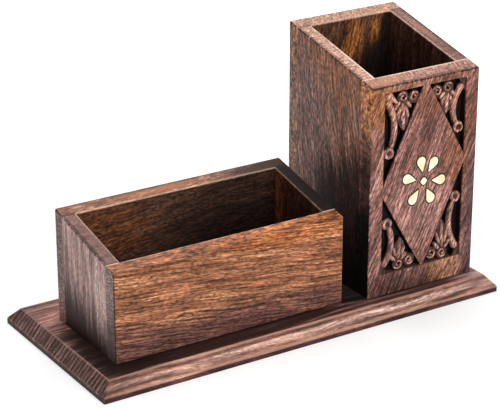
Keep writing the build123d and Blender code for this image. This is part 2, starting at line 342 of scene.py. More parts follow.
# %% The sheesham recipe
def sheesham(name, colours, lay, across, seed, stains_and_shade=(), over=(), edges=(), contrast=1.5, glint=1.0,
             vein=0.6, pore=0.6, rings=0.45, figure_mm=FIGURE_MM, fibre_stretch=FIBRE_STRETCH,
             sawn=None):
    """Oiled sheesham for one board. lay turns the frame in degrees so that the grain runs on X.

    The first list lies in the wood, under its fibres and pores; over lies on top and hides some of
    them.
    Both hold stains, painted shade and painted highlights.
    """
    material, tree, shader = new_material("oiled_sheesham_" + name)
    coordinates = add_node(tree, "TexCoord", give=None).outputs
    place, normal = coordinates["Object"], coordinates["Normal"]
    in_mm = add_node(tree, "VectorMath", {0: place, "Scale": 1 / MM}, operation="SCALE")
    sway = add_node(
        tree, "TexNoise", {"Vector": in_mm, "Scale": 1 / SWAY_MM, "Detail": 1.0}, "Color",
    )
    swayed = add_node(
        tree, "VectorMath", {0: sway, 1: (SWAY_REACH,) * 3, 2: in_mm}, operation="MULTIPLY_ADD",
    )
    grain = add_node(
        tree, "Mapping",
        {"Vector": swayed, "Rotation": [math.radians(a) for a in lay], "Location": (seed,) * 3},
    )

    def grain_noise(width, stretch, detail, distortion=0.0, steps=across):
        drawn = add_node(
            tree, "Mapping", {"Vector": grain, "Scale": (1 / stretch, steps[0], steps[1])},
        )
        return add_node(
            tree, "TexNoise",
            {"Vector": drawn, "Scale": 1 / width, "Detail": detail, "Roughness": 0.55,
             "Distortion": distortion},
        )

    figure = grain_noise(figure_mm, FIGURE_STRETCH, 3.0, 0.5)
    veins = grain_noise(VEIN_MM, VEIN_STRETCH, 3.0, 0.3)
    fibre = grain_noise(FIBRE_MM, fibre_stretch, 2.0)
    pores = grain_noise(PORE_MM, PORE_STRETCH, 1.0, steps=(1.0, 1.0))
    sparkle = grain_noise(SPARKLE_MM, SPARKLE_STRETCH, 1.0, steps=(1.0, 1.0))
    ragged = add_node(tree, "Math", {0: figure, 1: veins}, operation="ADD")
    ragged = add_node(tree, "Math", {0: ragged, 1: 1.0}, operation="SUBTRACT")

    # The figure's three tones, and the stains and painted shade that lie in the wood.
    ramp = add_node(tree, "ValToRGB", {"Fac": figure}, give=None)
    stops = ramp.color_ramp.elements
    stops[0].position, stops[0].color = FIGURE_DARK, linear(colours[0])
    stops[1].position, stops[1].color = FIGURE_PALE, linear(colours[2])
    stops.new((FIGURE_DARK + FIGURE_PALE) / 2).color = linear(colours[1])
    colour = ramp.outputs["Color"]
    for stain_or_light in stains_and_shade:
        colour = lay_stain_or_light(tree, in_mm, normal, colour, ragged, stain_or_light)

    # Dark veins and growth lines.
    ring = add_node(tree, "Math", {0: figure, 1: RING_STEP}, operation="PINGPONG")
    for level, start, core, share in (
        (veins, VEIN_EDGE, VEIN_CORE, vein), (ring, RING_STEP * RING_SHARE, 0.0, rings),
    ):
        dark = add_node(
            tree, "MapRange",
            {"Value": level, "From Min": start, "From Max": core, "To Max": share},
            interpolation_type="SMOOTHSTEP",
        )
        colour = add_node(
            tree, "Mix", {0: dark, 6: colour, 7: linear(VEIN_COLOUR)}, give=2, data_type="RGBA",
        )

    # Fibres and sparkle make the wood darker and brighter, and the pores are dark.
    lights = []
    for noise, reach, brighter in (
        (fibre, contrast, FIBRE_BRIGHTER), (sparkle, contrast * glint, SPARKLE_BRIGHTER),
    ):
        lights.append(add_node(
            tree, "MapRange",
            {"Value": noise, "From Min": NOISE_LOW, "From Max": NOISE_HIGH,
             "To Min": 1 - DARKER * reach, "To Max": 1 + brighter * reach},
        ))
    light = add_node(tree, "Math", {0: lights[0], 1: lights[1]}, operation="MULTIPLY")
    colour = add_node(tree, "VectorMath", {0: colour, "Scale": light}, operation="SCALE")
    pore_share = add_node(
        tree, "MapRange",
        {"Value": pores, "From Min": PORE_EDGE, "From Max": PORE_CORE, "To Max": pore},
    )
    colour = add_node(
        tree, "Mix", {0: pore_share, 6: colour, 7: linear(PORE_COLOUR)}, give=2, data_type="RGBA",
    )

    # Worn edges with their painted highlights, the stains and painted shade on top, and the marks of
    # the saw.
    for box, rim_hex, rim_share, corner_share in edges:
        to_rim_edge, to_corner = edge_distances(tree, in_mm, *box)
        colour = edge_line(tree, colour, sparkle, to_corner, CORNER_MM, corner_share, CORNER_COLOUR)
        colour = edge_line(tree, colour, sparkle, to_rim_edge, ARRIS_MM, rim_share, rim_hex)
    for stain_or_light in over:
        colour = lay_stain_or_light(tree, in_mm, normal, colour, ragged, stain_or_light)
    marks = 0.0
    if sawn:
        marks = saw_marks(tree, in_mm, normal, sawn)
        colour = add_node(
            tree, "Mix", {0: marks, 6: colour, 7: linear(PORE_COLOUR)}, give=2, data_type="RGBA",
        )
    tree.links.new(colour, shader.inputs["Base Color"])

    # The fibres stand up, and the pores and saw marks are cut in.
    height = add_node(tree, "Math", {0: pore_share, 1: -1.5, 2: fibre}, operation="MULTIPLY_ADD")
    height = add_node(tree, "Math", {0: marks, 1: -2.0, 2: height}, operation="MULTIPLY_ADD")
    bump = add_node(
        tree, "Bump", {"Height": height, "Distance": RELIEF_MM * MM, "Strength": RELIEF_STRENGTH},
    )
    tree.links.new(bump, shader.inputs["Normal"])
    satin = add_node(tree, "MapRange", {"Value": fibre, "To Min": SATIN_LOW, "To Max": SATIN_HIGH})
    tree.links.new(satin, shader.inputs["Roughness"])
    shader.inputs["IOR"].default_value = OIL_IOR
    shader.inputs["Specular IOR Level"].default_value = OIL_SHEEN
    return material


# %% Handing a finish to boards
def finish_with(material, *names):
    """Give these boards or fittings a finish."""
    for name in names:
        for slot in nodes[name].material_slots:
            slot.material = material
    print(material.name, "on", *names)


HIDDEN_EDGE = 3.0  # mm that an edge is moved out where a board meets others, or where it isn't worn
OPPOSITE = {"left": "right", "right": "left", "front": "back", "back": "front"}


def board_box(name, rim_front, hidden):
    """A board's planes in mm, moved out on the sides whose edges are hidden."""
    low, high = (Vector(corner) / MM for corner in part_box(name))
    high.z = rim_front[1] - rim_front[0] * RIM_SLOPE
    low.x -= HIDDEN_EDGE if "left" in hidden else 0
    high.x += HIDDEN_EDGE if "right" in hidden else 0
    low.y -= HIDDEN_EDGE if "front" in hidden else 0
    high.y += HIDDEN_EDGE if "back" in hidden else 0
    return tuple(low), tuple(high)


def worn_and_highlit_edges(name, rim_front, outer, pale=0.6, dark=0.85, corner=0.5):
    """Pale along the rim's inner edge, as wear and painted highlight, dark along its outer edges and
    down the outer corners.
    """
    inner = OPPOSITE[outer]
    joined = ("front", "back") if outer in ("left", "right") else ()
    pale_box = board_box(name, rim_front, [side for side in OPPOSITE if side != inner])
    dark_box = board_box(name, rim_front, (inner,) + joined)
    return (
        (dark_box, OUTER_COLOUR, dark, corner),
        (pale_box, ARRIS_WEAR_AND_HIGHLIGHT, pale, 0.0),
    )


# %% [markdown]
# ## The boards
# Each board is cut from its own piece, so each gets its own three tones, its own lay of the grain and
# its own stains, with painted shade and painted highlights among them. Each is a patch, with its
# middle and reach in mm, or it lies on the faces that look one way. Painting on the faces would be
# freer, but a patch in space needs no unwrapping, and it goes round an edge as a real streak does.

# %% Patches and faces
LEFT, RIGHT, FRONT, BACK, UP = (-1, 0, 0), (1, 0, 0), (0, -1, 0), (0, 1, 0), (0, 0, 1)
RIM = (0, -RIM_SLOPE, 1)
# Places of the boxes in the frame, in mm. A rim starts at this Y and Z, and rises to the back.
TRAY_LEFT, CUP_LEFT, CUP_MIDDLE = -87.7, 36.6, 65.4
TRAY_RIM, CUP_RIM = (-29.8, 48.4), (-34.0, 105.5)


def patch(middle, reach, hex_colour, strength=0.8, soft=0.3, fray=0.8, facing=None, square=False):
    """A round or square patch, in mm, on all faces or on those that look one way."""
    return {"middle": middle, "reach": reach, "hex": hex_colour, "strength": strength, "soft": soft,
            "fray": fray, "square": square, "facing": facing}


def face(way, hex_colour, strength=0.85):
    """Colour on the faces that look one way, as stains or as painted shade."""
    return {"facing": way, "hex": hex_colour, "strength": strength}


# %% [markdown]
# ### The tray
# The front board has an orange streak along its top and mauve heartwood at its foot, and its end
# grain shows on the left. The ends stand between the long boards, with their grain upright. The
# inside is painted nearly black, as painted shade in the box, and the right end is nearly black too.

# %% Tray boards
# Painted shade for the faces inside the tray.
TRAY_INSIDE_SHADE = "3f2216"
finish_with(sheesham(
    "tray_front", ("8a5537", "a56a4a", "bd825c"), (0, -7, 0), (0.3, 1.0), seed=11.0,
    stains_and_shade=(
        patch((-140, -30, 1.6), (260, 100, 21), "66433e", 0.9, 0.35, 1.2),
        patch((5, -29, 47), (36, 12, 5), "c0723c", 0.6, 0.4, 1.0),
        face(LEFT, "b39b97", 0.9),
        patch((TRAY_LEFT, -29, 4), (4, 16, 24), "2e1a15", 0.9, 0.5, 0.6, LEFT),
        # The inside face is painted dark, as painted shade in the tray.
        face(BACK, TRAY_INSIDE_SHADE), face(RIM, "8a5030", 0.5),
    ),
    over=(
        face(LEFT, "83706f", 0.3),
        patch((TRAY_LEFT, -29.8, 27), (0.45, 0.45, 22), "1c0e09", 0.8, 0.3, 0.6, square=True),
        # A pale line down the right upright edge, as wear and painted highlight.
        patch((25.7, -29.8, 29), (0.45, 0.5, 20), "d9b8a4", 0.6, 0.3, 0.8, square=True),
    ),
    edges=worn_and_highlit_edges("tray_front_board", TRAY_RIM, "front", 0.6, 0.15), rings=0.6, contrast=1.75,
    glint=0.6, fibre_stretch=24.0,
), "tray_front_board")
finish_with(sheesham(
    "tray_back", ("5f4133", "96674f", "c79477"), (0, 3, 0), (0.3, 1.0), seed=23.0,
    stains_and_shade=(
        # The inside face, and most of all the lower part of the board, is painted near black, as
        # painted shade in the tray.
        face(FRONT, "33190f"), patch((10, 14, 12), (66, 9, 50), "080302", 0.9, 0.5, 0.4),
        patch((-70, 14, 45), (26, 3, 12), "7a4524", 0.5, 0.5, 1.6),
        face(LEFT, "876b66"), face(RIM, "6e4531", 0.6),
    ),
    over=(
        face(RIM, "8a5f48", 0.2),
        patch((24, 18, 58), (34, 5, 4), "2c1710", 0.85, 0.5, 1.2, RIM),
        patch((-31, 21.3, 59.4), (60, 0.7, 0.8), "1c0f0b", 0.85, 0.4, 0.4),
        patch((-40, 18, 58), (24, 1.6, 4), "b5734a", 0.5, 0.5, 1.8, RIM),
        patch((22.4, 14.8, 58), (3.6, 0.9, 4), "160b08", 0.85, 0.4, 0.4, RIM, square=True),
        patch((-84.4, 14.8, 58), (3.6, 0.9, 4), "2c1810", 0.8, 0.4, 0.4, RIM, square=True),
    ),
    edges=worn_and_highlit_edges("tray_back_board", TRAY_RIM, "back", 0.3),
), "tray_back_board")
finish_with(sheesham(
    "tray_left", ("a58079", "d2aba4", "efcbc3"), (3, 90, 0), (1.0, 0.3), seed=31.0,
    contrast=0.85, vein=0.25, pore=0.35,
    stains_and_shade=(
        patch((TRAY_LEFT, -12, 4), (4, 44, 14), "2e1a15", 0.85, 0.5, 0.6, LEFT),
        patch((TRAY_LEFT, 9, 6), (4, 28, 22), "1f0d08", 0.95, 0.5, 0.5, LEFT),
        # The inside face is painted dark, as painted shade in the tray.
        face(RIGHT, TRAY_INSIDE_SHADE), face(RIM, "563029"),
    ),
    over=(
        face(RIM, "6f463c", 0.25),
        patch((-84, -23.1, 50), (6, 0.45, 20), "140a07", 0.75, 0.35, 0.5, RIM, square=True),
        patch((-84, 14.7, 56), (6, 0.45, 20), "140a07", 0.75, 0.35, 0.5, RIM, square=True),
        patch((TRAY_LEFT, 12, 4), (4, 3.2, 60), "24130f", 0.5, 0.5, 1.0, LEFT),
        patch((TRAY_LEFT, -6, 6), (4, 44, 24), "35140b", 0.4, 0.5, 0.8, LEFT),
        patch((-87.1, -4, 55), (0.9, 30, 20), "241210", 0.7, 0.5, 1.4, RIM),
    ),
    edges=worn_and_highlit_edges("tray_left_end", TRAY_RIM, "left", 0.55), rings=0.15, figure_mm=3.5,
), "tray_left_end")
finish_with(sheesham(
    "tray_right", ("23150f", "35221b", "5a4038"), (3, 90, 0), (1.0, 0.3), seed=37.0,
    stains_and_shade=(
        # The inside face, and the whole end low down, are painted near black, as painted shade in the
        # tray and in the gap beside the cup.
        face(LEFT, TRAY_INSIDE_SHADE), patch((19, 12, 40), (3, 4, 30), "8a4f26", 0.6, 0.5, 1.0, LEFT),
        patch((4, -4, 8), (62, 24, 38), "120906", 0.7, 0.5, 0.4), face(RIM, "0f0504", 0.9),
    ),
    over=(face(RIM, "120705", 0.55),),
    edges=worn_and_highlit_edges("tray_right_end", TRAY_RIM, "right", 0.12),
), "tray_right_end")

# %% [markdown]
# ### The cup
# The sides stand with their grain upright, and the back's grain leans, so the orange sapwood inside
# it lies on a slant. The side towards the tray is darker towards its lower front, and it is painted
# near black, as painted shade, where it faces the tray across the narrow gap. The inside below the
# rim is painted near black too, as painted shade in the cup.

# %% Cup boards
# Painted shade for the faces inside the cup.
CUP_INSIDE_SHADE = "4a2817"
CUP_SEAMS = tuple(
    patch((x, 23.5, 110), (3.6, 0.6, 20), "2a1711", 0.75, 0.35, 0.5, RIM, square=True)
    for x in (40.1, 90.7)
)
# Painted shade in the narrow gap between the tray and the cup, on the cup's side and the panel's left
# end.
GAP_SHADE = patch((CUP_LEFT, -34, 26), (3, 11, 24), "060302", 0.97, 0.16, 0.5, LEFT, square=True)
finish_with(sheesham(
    "cup_left", ("70493a", "8f6355", "b08374"), (9, 90, 0), (1.0, 0.3), seed=41.0,
    stains_and_shade=(
        patch((38, -20, 112), (20, 34, 20), "9a6232", 0.5, 0.4, 1.0),
        patch((38, -12, 98), (6, 16, 24), "9c6a50", 0.5, 0.5, 0.8),
        patch((38, 14, 76), (6, 16, 28), "8d7470", 0.5, 0.5, 0.8),
        patch((38, -42, 0), (60, 58, 80), "2a120a", 0.95, 0.1, 0.3, LEFT),
        # The inside face, and most of all its lower part, is painted near black, as painted shade in
        # the cup.
        face(RIGHT, CUP_INSIDE_SHADE), patch((43, -1, 40), (9, 34, 68), "0c0604", 0.9, 0.4, 0.5, RIGHT),
        face(RIM, "aa8473", 0.8),
    ),
    over=(
        # Darker towards the lower front, and painted shade in the gap beside the tray.
        patch((38, -46, 0), (60, 46, 54), "140603", 0.84, 0.4, 0.5, LEFT), GAP_SHADE,
        face(RIM, "c29a86", 0.25), *CUP_SEAMS,
        patch((37.4, -4, 110), (0.9, 40, 20), "50301f", 0.6, 0.5, 1.8, RIM),
        # A pale line along the rim's inner edge, as wear and painted highlight.
        patch((43.1, -12, 110), (0.6, 20, 20), "f3d6c4", 0.75, 0.5, 1.0, RIM),
    ),
    edges=worn_and_highlit_edges("cup_left_side", CUP_RIM, "left", 0.9), vein=0.3, contrast=1.9, glint=0.8,
    rings=0.25,
), "cup_left_side")
finish_with(sheesham(
    "cup_back", ("4a2d22", "8a6048", "b98a6a"), (0, 76, 0), (0.3, 1.0), seed=53.0,
    stains_and_shade=(
        # The inside face is painted dark, as painted shade in the cup.
        face(FRONT, CUP_INSIDE_SHADE), face(RIM, "aa816d", 0.8),
        patch((68, 23.5, 109), (3.4, 3, 9), "ad6a32", 0.8, 0.5, 1.2, FRONT),
        patch((64, 23.5, 98), (3.4, 3, 10), "9a5c2c", 0.75, 0.5, 1.2, FRONT),
        patch((60, 23.5, 87), (3.2, 3, 9), "7d4824", 0.7, 0.5, 1.2, FRONT),
        patch((79, 23.5, 110), (2.8, 3, 7), "a3632c", 0.7, 0.5, 1.2, FRONT),
        patch((52, 23.5, 110), (5, 3, 12), "5c3a20", 0.6, 0.5, 1.2, FRONT),
        # Painted shade: the inside below the rim is painted near black, deepest low down.
        patch((87, 23, 96), (6.5, 3, 30), "0a0503", 0.93, 0.3, 0.5, FRONT),
        patch((80, 23, 86), (9, 3, 20), "0a0503", 0.93, 0.3, 0.5, FRONT),
        patch((73, 23, 60), (14, 3, 38), "0a0503", 0.93, 0.3, 0.5, FRONT),
        patch((66, 23, 34), (30, 9, 46), "0a0503", 0.93, 0.3, 0.5, FRONT),
        patch((CUP_LEFT, 27, 70), (4, 9, 36), "b08a78", 0.7, 0.4, 0.6, LEFT),
    ),
    over=(
        face(RIM, "b58a75", 0.25), *CUP_SEAMS,
        patch((44, 26.5, 111.6), (10, 2.2, 3), "b06f42", 0.45, 0.5, 1.6, RIM),
        patch((80, 27.5, 111.6), (14, 2.0, 3), "7a4a3e", 0.5, 0.5, 1.6, RIM),
        patch((65, 30.4, 113), (40, 0.7, 2), "1c0e09", 0.7, 0.4, 0.6),
    ),
    edges=worn_and_highlit_edges("cup_back_board", CUP_RIM, "back", 0.4),
), "cup_back_board")
finish_with(sheesham(
    "cup_right", ("4a2d22", "82564a", "a07060"), (-3, 90, 0), (1.0, 0.3), seed=59.0,
    stains_and_shade=(
        # The inside face, and most of all its lower part, is painted near black, as painted shade in
        # the cup.
        face(LEFT, "3c2015"), patch((87, -1, 40), (9, 34, 68), "0c0604", 0.9, 0.4, 0.5, LEFT),
        face(RIM, "6a4a42", 0.8),
    ),
    over=(
        face(RIM, "7f5a50", 0.25), *CUP_SEAMS,
        patch((93.6, 0, 110), (0.9, 40, 20), "3a2019", 0.7, 0.5, 1.6, RIM),
        patch((90.5, 8, 110), (1.6, 14, 20), "a97a68", 0.5, 0.5, 1.6, RIM),
    ),
    edges=worn_and_highlit_edges("cup_right_side", CUP_RIM, "right", 0.4),
), "cup_right_side")

# %% [markdown]
# ### The carved panel
# The cup's front is one thick board whose grain leans. A carver stains the cut-away ground dark, and
# then the tops are sanded clean. Here the relief is painted darker from a little below the face, and
# the ground and the flanks of the relief near black, as that stain and as painted shade in the cuts,
# so the dark lies by depth: these square patches reach only as far up as the ground and the flanks of
# the relief.

# %% The carved panel
PANEL_COLOURS = ("69453a", "8d5f55", "a97a6e")
PANEL_LAY = (0, 66, 0)
# The panel's stains, and the painted shade on its inside face.
panel_stains_and_shade = (
    patch((41, -34, 99), (9, 8, 12), "a0622e", 0.75, 0.4, 1.0),
    patch((85, -34, 78), (9, 8, 30), "8c5433", 0.5, 0.5, 1.2),
    patch((78, -34, 13), (11, 8, 6), "b27e5d", 0.75, 0.4, 1.0),
    patch((62, -34, 98), (10, 8, 9), "8c5433", 0.5, 0.5, 1.2),
    patch((93, -30, 14), (5, 8, 76), "4a3637", 0.78, 0.4, 0.8),
    patch((40, -34, 8), (36, 8, 9), "452b26", 0.75, 0.4, 0.8),
    patch((62, -34, 36), (9, 8, 2), "4a2a24", 0.6, 0.5, 1.8),
    patch((64, -34, 44), (18, 6, 17), "bd8b80", 0.5, 0.4, 0.8),
    # The inside face is painted dark, as painted shade in the cup.
    face(BACK, CUP_INSIDE_SHADE),
)
# The relief is painted darker from a little below the face.
RELIEF_TOPS = patch(
    (CUP_MIDDLE, -29.8, 59.85), (22.3, 3.5, 42.8), "2c1a14", 0.82, 0.012, 0.0, square=True,
)
# The ground and the flanks of the relief are painted near black: the carver's stain and painted shade
# in the cuts.
GROUND_STAIN_AND_SHADE = patch(
    (CUP_MIDDLE, -29.6, 59.85), (22.3, 3.3, 42.8), "070302", 0.97, 0.03, 0.0, square=True,
)
INLAY_GAPS = patch((CUP_MIDDLE, -29.5, 57.9), (14, 4.38, 14), "0a0503", 0.95, 0.008, 0.0, square=True)
finish_with(sheesham(
    "panel", PANEL_COLOURS, PANEL_LAY, (0.3, 1.0), seed=61.0,
    stains_and_shade=panel_stains_and_shade + (
        face(RIM, "986f61", 0.8),
        patch((CUP_LEFT, -30, 98), (4, 8, 16), "dc9668", 0.8, 0.4, 1.0, LEFT),
        patch((CUP_LEFT, -30, 8), (4, 9, 72), "2a150e", 0.9, 0.25, 0.5, LEFT),
    ),
    over=(
        # The ground's stain and painted shade, dark filler round the brass, and painted shade in the
        # gap beside the tray.
        RELIEF_TOPS, GROUND_STAIN_AND_SHADE, INLAY_GAPS, GAP_SHADE, face(RIM, "a57a6b", 0.25),
        patch((CUP_MIDDLE, -33.0, 105.8), (34, 0.8, 3), "4d2a1e", 0.65, 0.5, 1.8, RIM),
        patch((46, -30, 106.4), (10, 3, 3), "b77c5a", 0.5, 0.5, 1.6, RIM),
        # A pale line along the rim's inner edge, as wear and painted highlight.
        patch((CUP_MIDDLE, -26.2, 107.2), (26, 0.6, 3), "eccbb8", 0.6, 0.5, 1.0, RIM),
    ),
    edges=worn_and_highlit_edges("cup_front_panel", CUP_RIM, "front", 0.7, 0.9, 0.2), figure_mm=7.0, vein=0.35,
    contrast=1.8, glint=0.75, fibre_stretch=20.0,
), "cup_front_panel")

# %% [markdown]
# ### The base board
# Its grain runs lengthways, so the front bevel shows long pale streaks, and the end bevels are end
# grain, where the saw's marks stay. The top is painted dark along the foot of each box, beside the
# tray's left end and in the gap between the boxes, as painted shade, and the arrises are drawn pale,
# as wear and painted highlight.

# %% The base board
BEVEL_RUN, BEVEL_RISE = 4.8, 5.4
BEVEL_LEFT, BEVEL_FRONT = (-BEVEL_RISE, 0, BEVEL_RUN), (0, -BEVEL_RISE, BEVEL_RUN)
finish_with(sheesham(
    "base", ("5c3d3d", "865c53", "b0867a"), (0, 0, 0), (1.0, 0.12), seed=3.0,
    stains_and_shade=(
        # Painted shade on the top in front of the tray and of the cup's front.
        patch((-40, -33, 8), (84, 8, 3), "26130e", 0.93, 0.3, 1.0, UP),
        patch((62, -35.5, 8), (36, 4.5, 3), "38201a", 0.75, 0.4, 1.0, UP),
        patch((98, -26, 8), (16, 28, 3), "b08c8c", 0.8, 0.4, 0.8, UP),
        # Painted shade on the top beside the tray's left end.
        patch((-84, -17, 8), (15, 29, 3), "170a06", 0.95, 0.35, 0.7, UP),
        face(BEVEL_LEFT, "6b524e", 0.6), face(BEVEL_FRONT, "9c6c56", 0.45),
        patch((0, -41.3, 6.6), (200, 0.5, 1.0), "5a372c", 0.6, 0.5, 1.8),
        patch((40, -42.5, 5.2), (110, 1.0, 1.5), "e2bcac", 0.6, 0.6, 1.2),
        # The upright left edge is painted nearly black, as painted shade.
        face(FRONT, "42211a", 0.9), face(LEFT, "1c100d", 0.9),
    ),
    over=(
        # Painted shade on the top in the gap between the boxes, and painted contact shade along the
        # feet of the tray and the cup's front.
        patch((31.2, -4, 8), (6.6, 30, 3), "060302", 0.93, 0.12, 0.3, UP, square=True),
        patch((-31, -29.8, 8), (57.5, 1.6, 1), "0c0604", 0.9, 0.35, 0.6, UP, square=True),
        patch((CUP_MIDDLE, -34, 8), (29.5, 1.2, 1), "0c0604", 0.85, 0.35, 0.6, UP, square=True),
        # Pale lines along the bevels' upper and lower arrises, as wear and painted highlight.
        patch((0, -40.2, 7.6), (110, 0.5, 0.6), "c89a82", 0.6, 0.4, 0.5),
        patch((0, -44.8, 2.7), (110, 0.9, 0.6), "dcb096", 0.4, 0.4, 1.2),
        patch((-96.7, 0, 7.6), (0.45, 46, 0.6), "9a7a72", 0.5, 0.4, 0.3),
        patch((-101.3, 0, 2.6), (1.5, 46, 0.4), "8a6c64", 0.4, 0.4, 0.3),
        patch((96, -43, 5), (9, 3.5, 3), "8d6a68", 0.45, 0.5, 0.8),
    ),
    vein=0.75, pore=0.35, contrast=1.7, glint=0.3, figure_mm=4.0, fibre_stretch=45.0, sawn=BEVEL_LEFT,
), "base_board")

# %% [markdown]
# ## Carved scrolls
# A carver leaves the scrolls standing when the ground is cut away, then rounds them over and cuts
# the spirals and veins. The construction holds them as flat-topped relief, so each one gets its
# rounded upper part here. Stems, spirals and leaf fingers are all ridges that turn and taper, so one
# helper draws a ridge out as by hand: a ring is added, and its face is extruded, moved, turned and
# resized from point to point. A sweep along a curve would do too, but this keeps the mesh in hand.

# %% The panel's own measure
PANEL_LEFT, PANEL_FACE, PANEL_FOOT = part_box("cup_front_panel")[0]
GROUND_DEPTH = 3.6  # mm, from the panel's face to the cut-away ground
CREST_DROP = 0.3  # mm, from the panel's face to a scroll's rounded crest
ROOTED = 0.3  # mm that a scroll is sunk into the ground
RIDGE_DEEP = (CREST_DROP + GROUND_DEPTH + ROOTED) / 2
RIDGE_THICK = GROUND_DEPTH + ROOTED - CREST_DROP
ROUNDING_ALLOWANCE = 1.08  # the rounding pulls a ring in by this much
ROUNDING_LEVELS = 1
RING_POINTS = 8
print("panel face at", round(PANEL_FACE / MM, 1), "mm, scroll middles", round(RIDGE_DEEP, 2), "deep")


def on_panel(across, up, deep=0.0):
    """A point's place, from mm across and up from the panel's lower left corner and mm deep."""
    return Vector((PANEL_LEFT + across * MM, PANEL_FACE + deep * MM, PANEL_FOOT + up * MM))


# %% Open and close a piece
def open_piece(name):
    """An empty mesh at the origin, in edit mode, for the operators to fill."""
    bpy.ops.object.select_all(action="DESELECT")
    bpy.ops.mesh.primitive_circle_add(vertices=RING_POINTS, radius=MM)
    piece = bpy.context.object
    piece.name = piece.data.name = name
    bpy.ops.object.mode_set(mode="EDIT")
    bpy.ops.mesh.select_all(action="SELECT")
    bpy.ops.mesh.delete(type="VERT")
    return piece


def hand_over(piece, pieces):
    """Let a finished piece ride with the cup's carving."""
    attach(piece, "root")
    pieces.append(piece)


def close_piece(piece, pieces):
    """Point the faces outwards and round the piece."""
    bpy.ops.mesh.select_all(action="SELECT")
    bpy.ops.mesh.normals_make_consistent(inside=False)
    bpy.ops.object.mode_set(mode="OBJECT")
    rounding = piece.modifiers.new("rounding", "SUBSURF")
    rounding.levels = rounding.render_levels = ROUNDING_LEVELS
    bpy.ops.object.modifier_apply(modifier=rounding.name)
    bpy.ops.object.shade_smooth_by_angle(angle=math.radians(60))
    hand_over(piece, pieces)


def select_alone(piece):
    """Make one piece the only selected one, and the active one."""
    bpy.ops.object.select_all(action="DESELECT")
    piece.select_set(True)
    bpy.context.view_layer.objects.active = piece


def edit_alone(piece):
    """Open one finished piece in edit mode with all of it selected."""
    select_alone(piece)
    bpy.ops.object.mode_set(mode="EDIT")
    bpy.ops.mesh.select_all(action="SELECT")


def copy_piece(first, name, pieces, start, goal, flip_across=1, flip_up=1):
    """A copy with its own mesh, mirrored about its start on the panel and moved to its goal."""
    select_alone(first)
    bpy.ops.object.duplicate(linked=False)
    piece = bpy.context.object
    piece.name = piece.data.name = name
    edit_alone(piece)
    bpy.ops.transform.resize(
        value=(flip_across, 1, flip_up), center_override=on_panel(*start), orient_type="GLOBAL",
    )
    bpy.ops.transform.translate(value=on_panel(*goal) - on_panel(*start))
    bpy.ops.mesh.normals_make_consistent(inside=False)
    bpy.ops.object.mode_set(mode="OBJECT")
    hand_over(piece, pieces)


carved_pieces = []


# %% Draw out a ridge
def ridge(route, widths, deep=RIDGE_DEEP, thick=RIDGE_THICK):
    """A rounded ridge along a route on the panel, in mm, in the piece that is open."""
    places = [on_panel(across, up, deep) for across, up in route]
    last = len(places) - 1
    headings = []
    for k in range(len(places)):
        step = places[min(k + 1, last)] - places[max(k - 1, 0)]
        headings.append(math.atan2(step.z, step.x))
    bpy.ops.mesh.select_all(action="DESELECT")
    bpy.ops.mesh.primitive_circle_add(
        vertices=RING_POINTS, radius=1.0, fill_type="NGON", location=places[0],
        rotation=(0, math.pi / 2, 0),
    )
    ring_size = (1.0, thick / 2 * MM * ROUNDING_ALLOWANCE, widths[0] / 2 * MM * ROUNDING_ALLOWANCE)
    bpy.ops.transform.resize(value=ring_size, center_override=places[0])
    bpy.ops.transform.rotate(
        value=headings[0], orient_axis="Y", orient_type="GLOBAL", center_override=places[0],
    )
    for k in range(1, len(places)):
        bpy.ops.mesh.extrude_region_move(TRANSFORM_OT_translate={"value": places[k] - places[k - 1]})
        bpy.ops.transform.rotate(
            value=headings[k] - headings[k - 1], orient_axis="Y", orient_type="GLOBAL",
            center_override=places[k],
        )
        share = widths[k] / widths[k - 1]
        bpy.ops.transform.resize(value=(share, 1.0, share), center_override=places[k])


def boss(across, up, steps, foot_radius, points=16):
    """A round on the panel: each step is a radius and a depth below the face, in mm."""
    bpy.ops.mesh.select_all(action="DESELECT")
    foot = GROUND_DEPTH + ROOTED
    bpy.ops.mesh.primitive_circle_add(
        vertices=points, radius=foot_radius * MM, fill_type="NGON",
        location=on_panel(across, up, foot), rotation=(math.pi / 2, 0, 0),
    )
    radius, depth = foot_radius, foot
    for next_radius, next_depth in steps:
        rise = (next_depth - depth) * MM
        bpy.ops.mesh.extrude_region_move(TRANSFORM_OT_translate={"value": (0, rise, 0)})
        share = next_radius / radius
        bpy.ops.transform.resize(
            value=(share, 1.0, share), center_override=on_panel(across, up, next_depth),
        )
        radius, depth = next_radius, next_depth


# %% [markdown]
# The four corners of the carved opening carry the same growth: a bowed stem with a ringed bud, two
# spiral curls under the rail and a fingered leaf between them. Each is counted from its own corner
# towards the middle of the panel, and its leg is as long as the diamond leaves room for.

# %% The four corners
OPENING = {"left": 6.8, "right": 50.8, "bottom": 9.6, "top": 94.5}
DIAMOND_LEFT_UP, DIAMOND_RIGHT_UP = 48.5, 57.0
corners = {
    "lower_left": (OPENING["left"], 1, OPENING["bottom"], 1, DIAMOND_LEFT_UP - OPENING["bottom"]),
    "lower_right": (OPENING["right"], -1, OPENING["bottom"], 1, DIAMOND_RIGHT_UP - OPENING["bottom"]),
    "upper_left": (OPENING["left"], 1, OPENING["top"], -1, OPENING["top"] - DIAMOND_LEFT_UP),
    "upper_right": (OPENING["right"], -1, OPENING["top"], -1, OPENING["top"] - DIAMOND_RIGHT_UP),
}


def from_corner(corner, across, along):
    """A point of the panel, counted in mm from one corner of the opening towards its middle."""
    return corner[0] + corner[1] * across, corner[2] + corner[3] * along


